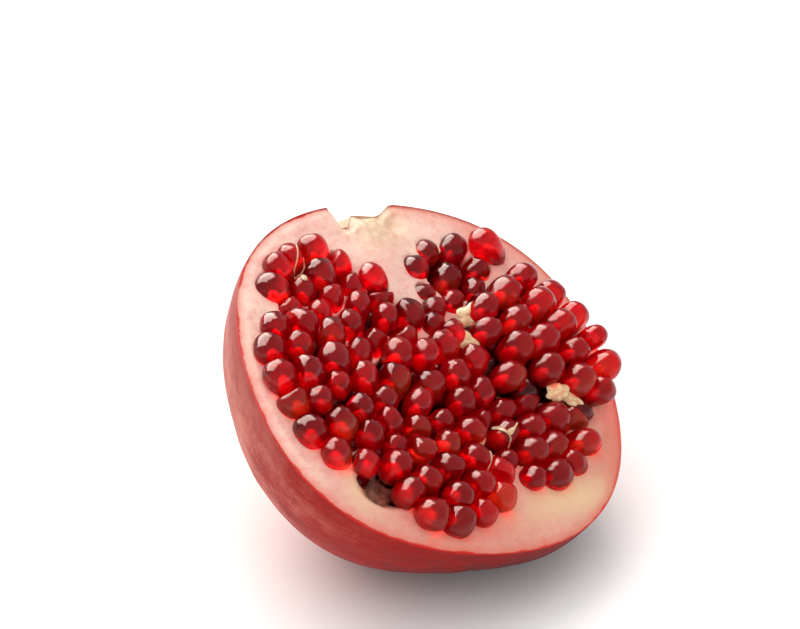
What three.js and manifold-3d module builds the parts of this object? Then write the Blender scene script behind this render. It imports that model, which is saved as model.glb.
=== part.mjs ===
// Half of a pomegranate, broken open from crown to stem, lying on its rounded back.
// The rind is one bowl: leathery skin, pale pith, the tongue of pith below the crown and the thin walls
// that part the chambers. Each chamber holds one cluster of arils, the juicy kernels, which grow from a
// core of packed arils and stand out of the open face one by one.
// Units are millimetres. The half is modelled in its own face frame, x across the open face, y towards
// the crown end and z out of the open face, and is then leaned over to the way it rests on the table.
import * as THREE from "three";
import { mergeVertices } from "three/addons/utils/BufferGeometryUtils.js";
import Module from "manifold-3d";

// Overall size and the way it lies
const FACE_RADIUS = 50.8; // mean radius of the open face
const BACK_DEPTH = 44; // from the open face to the middle of the back
const FACE_LEAN = 30; // degrees between the open face and the level
const LEAN_HEADING = -33; // degrees from +X, the way the open face looks
const CROWN_HEADING = 128; // degrees from +X, the way the crown end points
const REST_DEPTH = 42.9; // from the face centre straight down to the table
const REST_SHIFT = { x: 10.2, y: -24.1 }; // middle of the flat spot, in the face frame

// Outline of the open face
const SHOULDERS = { count: 4, height: 1.1, at: 30 }; // blunt corners of the outline
const LOPSIDED = { height: 0.9, at: 30 }; // the side where the outline swells
const SKIN_RIDGES = { count: 6, share: 0.012 }; // blunt ridges from crown to stem
const STEM_FLAT = { way: [-0.15, -0.82, -0.55], distance: 46.6, blend: 3 }; // the straight side by the stem
const CROWN_CUT = { way: [0.1, 0.995, 0], distance: 50.8 }; // where the crown was sliced off
const CROWN_NOTCH_DEPTH = 9; // how far the torn notch goes down the back
// The torn notch under the crown: place across the face, depth below the outline
const CROWN_NOTCH = [
  [-0.9, 0], [-0.5, 6.3], [1.8, 6.3], [4.2, 3.2], [10.4, 3.9], [12.4, 3.2], [16, 0.4], [17.5, 0],
];

// Pith and the hollow that the arils fill
const FLOOR = { depth: 38.5, share: 0.92 }; // the hollow's own bowl
const EDGE_ROLL = { drop: 0.8, width: 3 }; // the pith falls off to the skin's edge
const WALL_WIDTH = 4; // how far in from its border the hollow drops
const CHAMBER_POWER = 2.6; // roundness of a chamber's outline, 2 is an ellipse
const BROWN_HOLLOW = { x: -31, y: -25, radius: 4.2, rim: 1.4, depth: 5 }; // the empty pocket
const PITH_BUMPS = [
  { x: 7, y: 44, reach: 5, height: 1.4 },
  { x: 14.5, y: 42.2, reach: 2.4, height: -1.5 },
  { x: 3, y: 33, reach: 9, height: 1.2 },
];
const BUMP_FADE = 12; // how steeply the bumps die away at the rim, shares of the radius
const WALL_THICKNESS = 1; // the walls between chambers
const WALL_BELOW_TIPS = 3.5; // how far they end below the arils' tips
const WALL_ROOT = 4; // how deep in the back they start
const CLEARANCE = 0.35; // between arils and walls
const FLOOR_CLEARANCE = 0.8; // straight up between arils and pith

// Chambers of the hollow: middle, half widths, turn, height of the arils' tips over the face at the middle
// and at the border, and how far the arils lean across the face
const CHAMBERS = [
  { name: "left", x: -28.5, y: 3, rx: 15, ry: 25, turn: 3, crown: 7, edge: 3, lean: [-0.05, 0.25] },
  { name: "top_left", x: -18.3, y: 32.2, rx: 15, ry: 11, turn: 18, crown: 3.5, edge: 1.5, lean: [-0.1, 0.3] },
  { name: "upper_middle", x: -6, y: 18, rx: 13.5, ry: 10, turn: -8, crown: 5, edge: 2.5, lean: [0, 0.2] },
  { name: "middle", x: 0.8, y: 1.5, rx: 16.2, ry: 13.5, turn: -12, crown: 7.5, edge: 4, lean: [0, 0.15] },
  { name: "bottom", x: -11.5, y: -25, rx: 16, ry: 15.5, turn: 12, crown: 7, edge: 4, lean: [-0.05, -0.05] },
  { name: "bottom_right", x: 18, y: -21.5, rx: 17.5, ry: 14, turn: 4, crown: 4.5, edge: 1.5, lean: [0.05, 0.1] },
  { name: "right", x: 28.6, y: 0, rx: 16, ry: 23, turn: 8, crown: 10, edge: 6, lean: [0.15, 0] },
  { name: "top_right", x: 22, y: 24.5, rx: 13, ry: 12.5, turn: 0, crown: 2, edge: 2.6, lean: [0, 0.1] },
];

// Arils
const ARIL = { length: 12, width: 8.2, thickness: 7.6, taper: 0.2 };
const ARIL_PITCH = 7.7; // between neighbours
const ARIL_JITTER = 0.26; // share of the pitch
const ROW_STEP = Math.sqrt(3) / 2; // between rows, share of the pitch
const ARIL_SPREAD = 0.14; // how much the sizes differ
const TIP_SPREAD = 1.6; // how much the heights of neighbouring tips differ
const FAN_DEPTH = 66; // the arils point away from a point this far below the face
const BORDER_INSET = 3; // from a chamber's border to the middle of its outermost arils
const OVERHANG = 9; // how far arils may hang over a free border
const RELAX_ROUNDS = 24;
const RELAX_PUSH = 0.25; // share of an overlap that each round takes away, on either side
const CORE_BELOW_TIPS = 7; // the packed core ends this far below the tips
const CORE_SHOULDER = 6; // how much further it drops at a chamber's border
const CORE_INSET = 0.6; // how far its sides stay inside the border
const ARIL_SIDES = 7;
const ARIL_RINGS = [38, 84]; // degrees from the tip

// Fineness of the faceted rind
const FACE_STEPS = 50;
const TOP_RINGS = [0.13, 0.26, 0.38, 0.49, 0.59, 0.68, 0.75, 0.8, 0.85, 0.9, 0.95, 1];
const BACK_RINGS = [5, 13, 22, 32, 42, 52, 62, 72, 82];
const CHAMBER_STEPS = 26;
const HALVINGS = 24; // steps of a search along a ray
const CUT_ABOVE = 30; // how far cutting solids reach over the face
const CUT_BELOW = 10; // how far they reach below the back

const RAD = Math.PI / 180;
const wasm = await Module();
wasm.setup();

const smooth = (t) => {
  const s = Math.min(1, Math.max(0, t));
  return s * s * (3 - 2 * s);
};

// A repeatable draw between 0 and 1.
function draw(seed) {
  const s = Math.sin(seed * 12.9898 + 78.233) * 43758.5453;
  return s - Math.floor(s);
}

// Depth of the torn notch at a place across the face.
function notchDepth(x) {
  const last = CROWN_NOTCH.length - 1;
  if (x <= CROWN_NOTCH[0][0] || x >= CROWN_NOTCH[last][0]) return 0;
  const i = CROWN_NOTCH.findIndex(([at]) => at > x);
  const [x0, d0] = CROWN_NOTCH[i - 1];
  const [x1, d1] = CROWN_NOTCH[i];
  return d0 + ((d1 - d0) * (x - x0)) / (x1 - x0);
}

// Radius of the unbroken open face at an angle from +x.
function outline(angle) {
  return (
    FACE_RADIUS +
    SHOULDERS.height * Math.cos(SHOULDERS.count * (angle - SHOULDERS.at * RAD)) +
    LOPSIDED.height * Math.cos(angle - LOPSIDED.at * RAD)
  );
}

// Holds a point behind a plane, with a soft edge where blend is above 0.
function clampTo(p, way, distance, blend) {
  const normal = new THREE.Vector3(...way).normalize();
  const d = p.dot(normal);
  const over = d - distance;
  const held = blend > 0 && Math.abs(over) < blend ? (over + blend) ** 2 / (4 * blend) : Math.max(0, over);
  return p.addScaledVector(normal, -held);
}

// A point of the skin: angle round the face, and latitude from the rim, 0, to the middle of the back, 90.
function skinPoint(angle, latitude) {
  const share = Math.cos(latitude * RAD);
  const p = new THREE.Vector3(
    outline(angle) * share * Math.cos(angle),
    outline(angle) * share * Math.sin(angle),
    -BACK_DEPTH * Math.sin(latitude * RAD),
  );
  const round = Math.atan2(p.x, -p.z - 1e-9);
  const ridge = 1 + SKIN_RIDGES.share * Math.cos(SKIN_RIDGES.count * round) * smooth(latitude / 30);
  p.x *= ridge;
  p.z *= ridge;
  clampTo(p, STEM_FLAT.way, STEM_FLAT.distance, STEM_FLAT.blend);
  clampTo(p, CROWN_CUT.way, CROWN_CUT.distance, 0);
  if (p.y > 0) {
    const cut = notchDepth(p.x) * (1 - smooth(-p.z / CROWN_NOTCH_DEPTH));
    p.setY(p.y - cut);
  }
  return p;
}

// Where a point lies in a chamber: 0 at its middle, 1 on its border.
function reachIn(chamber, x, y) {
  const c = Math.cos(chamber.turn * RAD);
  const s = Math.sin(chamber.turn * RAD);
  const u = Math.abs((x - chamber.x) * c + (y - chamber.y) * s) / chamber.rx;
  const v = Math.abs((y - chamber.y) * c - (x - chamber.x) * s) / chamber.ry;
  return (u ** CHAMBER_POWER + v ** CHAMBER_POWER) ** (1 / CHAMBER_POWER);
}

// The chamber that a point belongs to, and its reach there.
function nearestChamber(x, y) {
  let best = null;
  let reach = Infinity;
  for (const chamber of CHAMBERS) {
    const r = reachIn(chamber, x, y);
    if (r < reach) [best, reach] = [chamber, r];
  }
  return { chamber: best, reach };
}

// Height of the pith and of the hollow's floor over a point of the face.
function faceHeight(x, y, share) {
  let plateau = -EDGE_ROLL.drop * (1 - smooth(((1 - share) * FACE_RADIUS) / EDGE_ROLL.width));
  for (const b of PITH_BUMPS) {
    const away = Math.hypot(x - b.x, y - b.y) / b.reach;
    plateau += b.height * Math.exp(-(away ** 2)) * smooth((1 - share) * BUMP_FADE);
  }
  const pocket = Math.hypot(x - BROWN_HOLLOW.x, y - BROWN_HOLLOW.y) / BROWN_HOLLOW.radius;
  plateau -= BROWN_HOLLOW.depth * smooth(BROWN_HOLLOW.rim - pocket);
  const floor = -FLOOR.depth * Math.sqrt(Math.max(0.02, 1 - (share / FLOOR.share) ** 2));
  const { chamber, reach } = nearestChamber(x, y);
  const inside = (1 - reach) * Math.min(chamber.rx, chamber.ry);
  return plateau + (Math.min(floor, plateau) - plateau) * smooth(inside / WALL_WIDTH);
}

// A closed mesh from rings of points that run counterclockwise, seen from above the first cap.
function ringSolid(topCap, rings, endCap) {
  const n = rings[0].length;
  const points = [topCap, ...rings.flat(), endCap];
  const index = [];
  const at = (r, i) => 1 + r * n + (i % n);
  for (let i = 0; i < n; i++) index.push(0, at(0, i), at(0, i + 1));
  for (let r = 0; r + 1 < rings.length; r++) {
    for (let i = 0; i < n; i++) {
      index.push(at(r, i), at(r + 1, i), at(r + 1, i + 1), at(r, i), at(r + 1, i + 1), at(r, i + 1));
    }
  }
  const end = points.length - 1;
  for (let i = 0; i < n; i++) index.push(at(rings.length - 1, i), end, at(rings.length - 1, i + 1));
  const geometry = new THREE.BufferGeometry().setFromPoints(points);
  return geometry.setIndex(index);
}

// three.js geometry to a solid that can be cut and joined, and back.
function solidOf(geometry) {
  const bare = new THREE.BufferGeometry().setAttribute("position", geometry.getAttribute("position"));
  bare.setIndex(geometry.index);
  const merged = mergeVertices(bare, 1e-4);
  return new wasm.Manifold(
    new wasm.Mesh({
      numProp: 3,
      vertProperties: merged.attributes.position.array,
      triVerts: new Uint32Array(merged.index.array),
    }),
  );
}

function geometryOf(solid) {
  const mesh = solid.getMesh();
  const positions = new Float32Array(mesh.numVert * 3);
  for (let i = 0; i < mesh.numVert; i++) {
    positions.set(mesh.vertProperties.subarray(i * mesh.numProp, i * mesh.numProp + 3), i * 3);
  }
  const geometry = new THREE.BufferGeometry().setAttribute("position", new THREE.BufferAttribute(positions, 3));
  geometry.setIndex(new THREE.BufferAttribute(mesh.triVerts, 1));
  geometry.computeVertexNormals();
  return geometry;
}

// The largest body of a solid, without loose scraps.
function mainBody(solid) {
  return solid.decompose().reduce((a, b) => (a.volume() > b.volume() ? a : b));
}

// Angles round the face, finer along the torn notch.
function faceAngles() {
  const even = Array.from({ length: FACE_STEPS }, (_, i) => (i / FACE_STEPS) * 2 * Math.PI);
  const notch = CROWN_NOTCH.map(([x]) => Math.acos(x / FACE_RADIUS));
  const [low, high] = [Math.min(...notch), Math.max(...notch)];
  return [...even.filter((a) => a < low - 0.02 || a > high + 0.02), ...notch].sort((a, b) => a - b);
}

const ANGLES = faceAngles();

// One ring of the open face, lifted by a clearance.
function faceRing(share, lift) {
  return ANGLES.map((angle) => {
    const rim = skinPoint(angle, 0);
    const x = rim.x * share;
    const y = rim.y * share;
    return new THREE.Vector3(x, y, faceHeight(x, y, share) + lift);
  });
}

// The whole half, from the open face down to the skin.
function rindSolid() {
  const top = TOP_RINGS.map((share) => faceRing(share, 0));
  const back = BACK_RINGS.map((latitude) => ANGLES.map((angle) => skinPoint(angle, latitude)));
  return solidOf(
    ringSolid(new THREE.Vector3(0, 0, faceHeight(0, 0, 0)), [...top, ...back], skinPoint(0, 90)),
  );
}

// Everything below the open face and a small clearance over it, to cut the clusters with.
function clearanceSolid() {
  const top = TOP_RINGS.map((share) => faceRing(share, FLOOR_CLEARANCE));
  const low = -BACK_DEPTH - CUT_BELOW;
  const skirt = ANGLES.map((angle) => skinPoint(angle, 0).setZ(low));
  return solidOf(
    ringSolid(
      new THREE.Vector3(0, 0, faceHeight(0, 0, 0) + FLOOR_CLEARANCE),
      [...top, skirt],
      new THREE.Vector3(0, 0, low),
    ),
  );
}

// The furthest distance along a ray, up to a limit, at which a test still holds.
function furthest(limit, holds) {
  let [near, far] = [0, limit];
  for (let k = 0; k < HALVINGS; k++) {
    const middle = (near + far) / 2;
    if (holds(middle)) near = middle;
    else far = middle;
  }
  return near;
}

// Outline of a chamber's own cell: for each step round its middle, how far the cell goes, what ends it, and
// how far its arils may hang over the border without touching the arils next door.
function cellOutline(chamber) {
  const spare = WALL_THICKNESS / 2 + CLEARANCE;
  return Array.from({ length: CHAMBER_STEPS }, (_, i) => {
    const angle = (i / CHAMBER_STEPS) * 2 * Math.PI;
    const [cos, sin] = [Math.cos(angle), Math.sin(angle)];
    const at = (r, dx = 0, dy = 0) => nearestChamber(chamber.x + cos * r + dx, chamber.y + sin * r + dy);
    const radius = furthest(FACE_RADIUS, (r) => at(r).chamber === chamber && at(r).reach < 1);
    const beyond = at(radius + 0.05);
    const bound = furthest(radius + OVERHANG, (r) =>
      Array.from({ length: 8 }, (_, k) => (k * Math.PI) / 4).every(
        (a) => at(r, spare * Math.cos(a), spare * Math.sin(a)).chamber === chamber,
      ),
    );
    return { cos, sin, radius, bound, neighbour: beyond.reach < 1 ? beyond.chamber : null };
  });
}

// Height of the arils' tips in a chamber.
function tipHeight(chamber, reach) {
  return chamber.edge + (chamber.crown - chamber.edge) * Math.sqrt(Math.max(0, 1 - reach * reach));
}

// Places of all the arils on the face: rows in each chamber, nudged by a seeded draw, then eased apart.
function placeArils() {
  const arils = [];
  CHAMBERS.forEach((chamber, k) => {
    const c = Math.cos(chamber.turn * RAD);
    const s = Math.sin(chamber.turn * RAD);
    const rows = Math.ceil(chamber.ry / (ARIL_PITCH * ROW_STEP));
    const columns = Math.ceil(chamber.rx / ARIL_PITCH) + 1;
    for (let j = -rows; j <= rows; j++) {
      for (let i = -columns; i <= columns; i++) {
        const seed = 1000 * (k + 1) + 40 * (j + 20) + i + 20;
        const u = (i + (j % 2 ? 0.5 : 0) + ARIL_JITTER * (draw(seed) - 0.5)) * ARIL_PITCH;
        const v = (j * ROW_STEP + ARIL_JITTER * (draw(seed + 0.5) - 0.5)) * ARIL_PITCH;
        const x = chamber.x + u * c - v * s;
        const y = chamber.y + u * s + v * c;
        const found = nearestChamber(x, y);
        if (found.chamber !== chamber || found.reach > 1) continue;
        arils.push({ chamber, seed, x, y });
      }
    }
  });
  for (let round = 0; round < RELAX_ROUNDS; round++) {
    for (let a = 0; a < arils.length; a++) {
      for (let b = a + 1; b < arils.length; b++) {
        const dx = arils[b].x - arils[a].x;
        const dy = arils[b].y - arils[a].y;
        const apart = Math.hypot(dx, dy);
        if (apart > ARIL_PITCH || apart < 1e-6) continue;
        const push = (RELAX_PUSH * (ARIL_PITCH - apart)) / apart;
        arils[a].x -= dx * push;
        arils[a].y -= dy * push;
        arils[b].x += dx * push;
        arils[b].y += dy * push;
      }
    }
    for (const aril of arils) {
      const { chamber } = aril;
      const reach = reachIn(chamber, aril.x, aril.y);
      const limit = 1 - BORDER_INSET / Math.min(chamber.rx, chamber.ry);
      if (reach <= limit) continue;
      aril.x = chamber.x + ((aril.x - chamber.x) * limit) / reach;
      aril.y = chamber.y + ((aril.y - chamber.y) * limit) / reach;
    }
  }
  return arils;
}

// A kernel: blunt at its tip and narrow at its root, with few sides.
function arilSolid(aril) {
  const { chamber, seed } = aril;
  const size = 1 + ARIL_SPREAD * (draw(seed + 0.25) - 0.5) * 2;
  const tip = tipHeight(chamber, reachIn(chamber, aril.x, aril.y)) + (draw(seed + 0.75) - 0.5) * TIP_SPREAD;
  const outward = new THREE.Vector3(aril.x, aril.y, FAN_DEPTH).divideScalar(FAN_DEPTH);
  const axis = new THREE.Vector3(outward.x + chamber.lean[0], outward.y + chamber.lean[1], 1).normalize();
  const turn = new THREE.Quaternion().setFromUnitVectors(new THREE.Vector3(0, 0, 1), axis);
  const spin = new THREE.Quaternion().setFromAxisAngle(new THREE.Vector3(0, 0, 1), draw(seed + 0.1) * Math.PI);
  turn.multiply(spin);
  const half = (ARIL.length * size) / 2;
  const centre = new THREE.Vector3(aril.x, aril.y, 0).addScaledVector(outward, tip).addScaledVector(axis, -half);
  const place = (u, v, w) => new THREE.Vector3(u, v, w).applyQuaternion(turn).add(centre);
  const rings = ARIL_RINGS.map((degrees, r) => {
    const polar = degrees * RAD;
    const wide = Math.sin(polar) * (1 + ARIL.taper * Math.cos(polar)) * size;
    return Array.from({ length: ARIL_SIDES }, (_, i) => {
      const a = ((i + 0.5 * r) / ARIL_SIDES) * 2 * Math.PI;
      const across = (ARIL.width / 2) * wide * Math.cos(a);
      const through = (ARIL.thickness / 2) * wide * Math.sin(a);
      return place(across, through, half * Math.cos(polar));
    });
  });
  return solidOf(ringSolid(place(0, 0, half), rings, place(0, 0, -half)));
}

// A prism over a chamber, with its side where reachOf says and its top where heightAt says.
function cellPrism(chamber, cell, reachOf, low, heightAt, levels) {
  const ring = (level, z) =>
    cell.map((step) => {
      const x = chamber.x + step.cos * reachOf(step) * level;
      const y = chamber.y + step.sin * reachOf(step) * level;
      return new THREE.Vector3(x, y, z ?? heightAt(x, y));
    });
  const top = new THREE.Vector3(chamber.x, chamber.y, heightAt(chamber.x, chamber.y));
  return solidOf(
    ringSolid(top, [...levels.map((l) => ring(l)), ring(1, low)], new THREE.Vector3(chamber.x, chamber.y, low)),
  );
}

// A chamber's cluster: the packed core with its arils standing out of it, clear of the pith and walls.
function clusterSolid(chamber, cell, arils, clearance, wallRoom) {
  const coreTop = (x, y) => {
    const reach = reachIn(chamber, x, y);
    return tipHeight(chamber, reach) - CORE_BELOW_TIPS - CORE_SHOULDER * reach ** 6;
  };
  const coreSide = (step) => Math.min(step.radius - CORE_INSET, step.bound);
  const core = cellPrism(chamber, cell, coreSide, -BACK_DEPTH, coreTop, [0.78, 1]);
  const kernels = arils.filter((aril) => aril.chamber === chamber).map(arilSolid);
  const grown = kernels.reduce((sum, kernel) => sum.add(kernel), core);
  const bounds = cellPrism(chamber, cell, (step) => step.bound, -BACK_DEPTH - CUT_BELOW, () => CUT_ABOVE, [1]);
  const cleared = wallRoom.reduce((rest, wall) => rest.subtract(wall), grown.intersect(bounds));
  return mainBody(cleared.subtract(clearance));
}

// The two points of a list that lie farthest apart.
function farthestPair(points) {
  let best = [points[0], points[0]];
  for (const a of points) {
    for (const b of points) {
      if (a.distanceTo(b) > best[0].distanceTo(best[1])) best = [a, b];
    }
  }
  return best;
}

// Walls between a chamber and those of its neighbours that come later in the list, grown by some room.
function wallSolids(chamber, cell, room) {
  const order = CHAMBERS.indexOf(chamber);
  const walls = [];
  for (const neighbour of CHAMBERS.slice(order + 1)) {
    const shared = cell
      .filter((step) => step.neighbour === neighbour)
      .map(({ cos, sin, radius }) => new THREE.Vector2(chamber.x + cos * radius, chamber.y + sin * radius));
    if (shared.length < 3) continue;
    const [start, end] = farthestPair(shared);
    const along = end.clone().sub(start);
    const high = Math.min(chamber.edge, neighbour.edge) - WALL_BELOW_TIPS + room;
    const low = WALL_ROOT - BACK_DEPTH + Math.max(start.length(), end.length()) / 2 - room;
    const slab = new THREE.BoxGeometry(along.length() + 2 * room, WALL_THICKNESS + 2 * room, high - low);
    slab.rotateZ(along.angle());
    slab.translate((start.x + end.x) / 2, (start.y + end.y) / 2, (high + low) / 2);
    walls.push(solidOf(slab));
  }
  return walls;
}

// Turns the face frame to the way the half lies on the table, flat spot at the origin.
function restingFrame() {
  const lean = FACE_LEAN * RAD;
  const heading = LEAN_HEADING * RAD;
  const z = new THREE.Vector3(Math.sin(lean) * Math.cos(heading), Math.sin(lean) * Math.sin(heading), Math.cos(lean));
  const y = new THREE.Vector3(Math.cos(CROWN_HEADING * RAD), Math.sin(CROWN_HEADING * RAD), 0);
  y.addScaledVector(z, -y.dot(z)).normalize();
  const x = y.clone().cross(z);
  const turn = new THREE.Matrix4().makeBasis(x, y, z);
  const down = new THREE.Vector3(-x.z, -y.z, -z.z);
  // the point of the flat spot that becomes the origin, found on the resting plane
  const seat = new THREE.Vector3(REST_SHIFT.x, REST_SHIFT.y, 0);
  seat.z = (REST_DEPTH - seat.x * down.x - seat.y * down.y) / down.z;
  return { turn, down, seat };
}

// The block that flattens the spot that the half rests on, in the face frame.
function tableBlock(down, seat) {
  const size = 2 * FACE_RADIUS;
  const block = new THREE.BoxGeometry(size, size, size);
  block.translate(0, 0, size / 2);
  block.applyQuaternion(new THREE.Quaternion().setFromUnitVectors(new THREE.Vector3(0, 0, 1), down));
  block.translate(seat.x, seat.y, seat.z);
  return solidOf(block);
}

const { turn, down, seat } = restingFrame();
const clearance = clearanceSolid();
const cells = new Map(CHAMBERS.map((chamber) => [chamber, cellOutline(chamber)]));
const arils = placeArils();

const skinLook = new THREE.MeshStandardMaterial({ color: 0xb3202a, roughness: 0.35, metalness: 0 });
const arilLook = new THREE.MeshStandardMaterial({ color: 0x9b0f1c, roughness: 0.12, metalness: 0 });

const half = new THREE.Group();
half.quaternion.setFromRotationMatrix(turn);
half.position.copy(seat.clone().applyQuaternion(half.quaternion).negate());

const allWalls = (room) => CHAMBERS.flatMap((chamber) => wallSolids(chamber, cells.get(chamber), room));
const wallRoom = allWalls(CLEARANCE);
const rind = allWalls(0)
  .reduce((sum, wall) => sum.add(wall), rindSolid())
  .subtract(tableBlock(down, seat));
const rindMesh = new THREE.Mesh(geometryOf(mainBody(rind)), skinLook);
rindMesh.name = "rind";
half.add(rindMesh);

for (const chamber of CHAMBERS) {
  const cluster = clusterSolid(chamber, cells.get(chamber), arils, clearance, wallRoom);
  const mesh = new THREE.Mesh(geometryOf(cluster), arilLook);
  mesh.name = `arils_${chamber.name}`;
  half.add(mesh);
}

export default half;
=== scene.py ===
"""Half of a pomegranate, broken open from crown to stem, lying on its rounded back.

The fruit is built in its own face frame, in millimetres: x across the open face, y towards the crown
end and z out of the open face. Lie turns that frame to the way the half rests on the table, in metres.
"""

import logging
import math
from dataclasses import dataclass, field
from enum import Enum
from typing import Any, Sequence, Union

import bmesh
import bpy
import numpy as np
from mathutils import Matrix, Vector, noise
from mathutils.bvhtree import BVHTree


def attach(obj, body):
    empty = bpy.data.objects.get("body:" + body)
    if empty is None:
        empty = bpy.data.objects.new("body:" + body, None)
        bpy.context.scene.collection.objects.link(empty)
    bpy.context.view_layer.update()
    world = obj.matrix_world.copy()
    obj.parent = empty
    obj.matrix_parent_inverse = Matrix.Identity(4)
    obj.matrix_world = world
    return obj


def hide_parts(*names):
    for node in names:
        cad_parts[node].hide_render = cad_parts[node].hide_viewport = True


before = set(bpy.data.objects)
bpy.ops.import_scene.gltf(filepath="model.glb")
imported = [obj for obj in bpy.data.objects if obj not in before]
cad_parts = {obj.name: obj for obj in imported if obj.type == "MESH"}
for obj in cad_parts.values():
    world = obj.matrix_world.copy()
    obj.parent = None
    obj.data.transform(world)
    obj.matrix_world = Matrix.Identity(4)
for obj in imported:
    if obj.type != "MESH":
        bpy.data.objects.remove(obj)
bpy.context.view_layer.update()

RAD = math.pi / 180
MM = 0.001

# Points are divided by one of these before the finishes read them: near for arils, wide for the rind.
NEAR_SCALE = 10
WIDE_SCALE = 50

# A single aril that leans more than this lies on its side.
LYING_LEAN = 0.8

Colour = tuple[float, float, float, float]
Number = Union[int, float]
Form = tuple[np.ndarray, list[tuple[int, ...]]]

log = logging.getLogger("pomegranate")


def smooth(t: Any) -> Any:
    """Ease from 0 to 1 as t goes from 0 to 1."""
    s = np.clip(t, 0.0, 1.0)
    return s * s * (3 - 2 * s)


def draw(seed: float) -> float:
    """A repeatable draw between 0 and 1."""
    s = math.sin(seed * 12.9898 + 78.233) * 43758.5453
    return s - math.floor(s)


def paint(red: int, green: int, blue: int) -> Colour:
    """A colour as the eye names it, from 0 to 255, turned to the light it sends back.

    Args:
        red: Its red.
        green: Its green.
        blue: Its blue.

    Returns:
        The colour, fully opaque.
    """
    parts = [c / 255 for c in (red, green, blue)]
    light = [c / 12.92 if c <= 0.04045 else ((c + 0.055) / 1.055) ** 2.4 for c in parts]
    return (light[0], light[1], light[2], 1.0)


def ripple(points: np.ndarray, size: float, shift: float = 0.0) -> np.ndarray:
    """Smooth noise at points.

    Args:
        points: Places, one row each.
        size: Width of one ripple, in the points' units.
        shift: Moves the noise, so that two ripples differ.

    Returns:
        One number for each point, about -1 to 1.
    """
    return np.array([noise.noise(Vector(p)) for p in points / size + shift])


class Slot(Enum):
    """The record's material slots."""

    RIND = "rind"
    PITH = "pith"
    ARIL = "aril_flesh"


@dataclass(frozen=True)
class Lie:
    """How the half lies on the table."""

    lean: float = 30.0
    lean_heading: float = -33.0
    crown_heading: float = 128.0
    rest_depth: float = 42.9
    rest_x: float = 10.2
    rest_y: float = -24.1

    def axes(self) -> np.ndarray:
        """The face frame's x, y and z in the world, one column each.

        Returns:
            A matrix of three columns.
        """
        lean, heading, crown = (a * RAD for a in (self.lean, self.lean_heading, self.crown_heading))
        tilt = math.sin(lean)
        z = np.array([tilt * math.cos(heading), tilt * math.sin(heading), math.cos(lean)])
        y = np.array([math.cos(crown), math.sin(crown), 0.0])
        y = y - z * y.dot(z)
        y /= np.linalg.norm(y)
        return np.column_stack([np.cross(y, z), y, z])

    def down(self) -> np.ndarray:
        """The way down to the table, in the face frame."""
        return -self.axes()[2]

    def seat(self) -> np.ndarray:
        """The middle of the flat spot, in the face frame.

        Returns:
            The point, in millimetres.
        """
        down = self.down()
        z = (self.rest_depth - self.rest_x * down[0] - self.rest_y * down[1]) / down[2]
        return np.array([self.rest_x, self.rest_y, z])

    def place(self, points: np.ndarray) -> np.ndarray:
        """Points of the face frame, in millimetres, to the world, in metres."""
        return (points - self.seat()) @ self.axes().T * MM


@dataclass(frozen=True)
class Chamber:
    """One chamber of the fruit: its outline on the face, and how its arils stand."""

    name: str
    x: float
    y: float
    rx: float
    ry: float
    turn: float
    crown: float
    edge: float
    lean: tuple[float, float]

    def reach(self, x: Any, y: Any) -> Any:
        """Where a point lies: 0 at the chamber's middle, 1 on its border.

        Args:
            x: Across the face, in millimetres.
            y: Towards the crown end, in millimetres.

        Returns:
            The reach, one number for each point.
        """
        power = 2.6
        c, s = math.cos(self.turn * RAD), math.sin(self.turn * RAD)
        u = np.abs((x - self.x) * c + (y - self.y) * s) / self.rx
        v = np.abs((y - self.y) * c - (x - self.x) * s) / self.ry
        return (u**power + v**power) ** (1 / power)

    def tip_height(self, reach: Any) -> Any:
        """Height of the arils' tips over the face."""
        return self.edge + (self.crown - self.edge) * np.sqrt(np.maximum(0, 1 - reach * reach))

    def sunken(self) -> bool:
        """Whether the arils in the middle stand lower than those round them."""
        return self.crown < self.edge


CHAMBERS = (
    Chamber("left", -28.5, 3, 15, 25, 3, 7, 3, (-0.05, 0.25)),
    Chamber("top_left", -18.3, 32.2, 15, 11, 18, 3.5, 1.5, (-0.1, 0.3)),
    Chamber("upper_middle", -6, 18, 13.5, 10, -8, 5, 2.5, (0, 0.2)),
    Chamber("middle", 0.8, 1.5, 16.2, 13.5, -12, 7.5, 4, (0, 0.15)),
    Chamber("bottom", -11.5, -25, 16, 15.5, 12, 7, 4, (-0.05, -0.05)),
    Chamber("bottom_right", 18, -21.5, 17.5, 14, 4, 4.5, 1.5, (0.05, 0.1)),
    Chamber("right", 28.6, 0, 16, 23, 8, 10, 6, (0.15, 0)),
    Chamber("top_right", 22, 24.5, 13, 12.5, 0, 2, 2.6, (0, 0.1)),
)


def nearest_chamber(x: np.ndarray, y: np.ndarray) -> tuple[np.ndarray, np.ndarray]:
    """The chamber that each point belongs to.

    Args:
        x: Places across the face.
        y: Places towards the crown.

    Returns:
        The chambers' numbers, and the reach of each point in its own chamber.
    """
    reaches = np.array([c.reach(x, y) for c in CHAMBERS])
    return reaches.argmin(axis=0), reaches.min(axis=0)


def make_piece(
    name: str, points: np.ndarray, faces: Sequence[Sequence[int]], values: dict[str, np.ndarray] | None = None
) -> bpy.types.Object:
    """A smooth-shaded mesh object.

    Args:
        name: The piece's name.
        points: Its points in the world, in metres.
        faces: Its faces, as point numbers.
        values: Numbers or vectors kept on its points, for its material.

    Returns:
        The new object, linked to the scene.
    """
    mesh = bpy.data.meshes.new(name)
    mesh.from_pydata(points.tolist(), [], [list(map(int, f)) for f in faces])
    mesh.update()
    mesh.shade_smooth()
    for key, numbers in (values or {}).items():
        kind, part = ("FLOAT", "value") if numbers.ndim == 1 else ("FLOAT_VECTOR", "vector")
        layer = mesh.attributes.new(key, kind, "POINT")
        layer.data.foreach_set(part, numbers.astype(np.float32).ravel())
    piece = bpy.data.objects.new(name, mesh)
    bpy.context.scene.collection.objects.link(piece)
    log.info("%s: %d points, %d faces", name, len(points), len(faces))
    return piece


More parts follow.
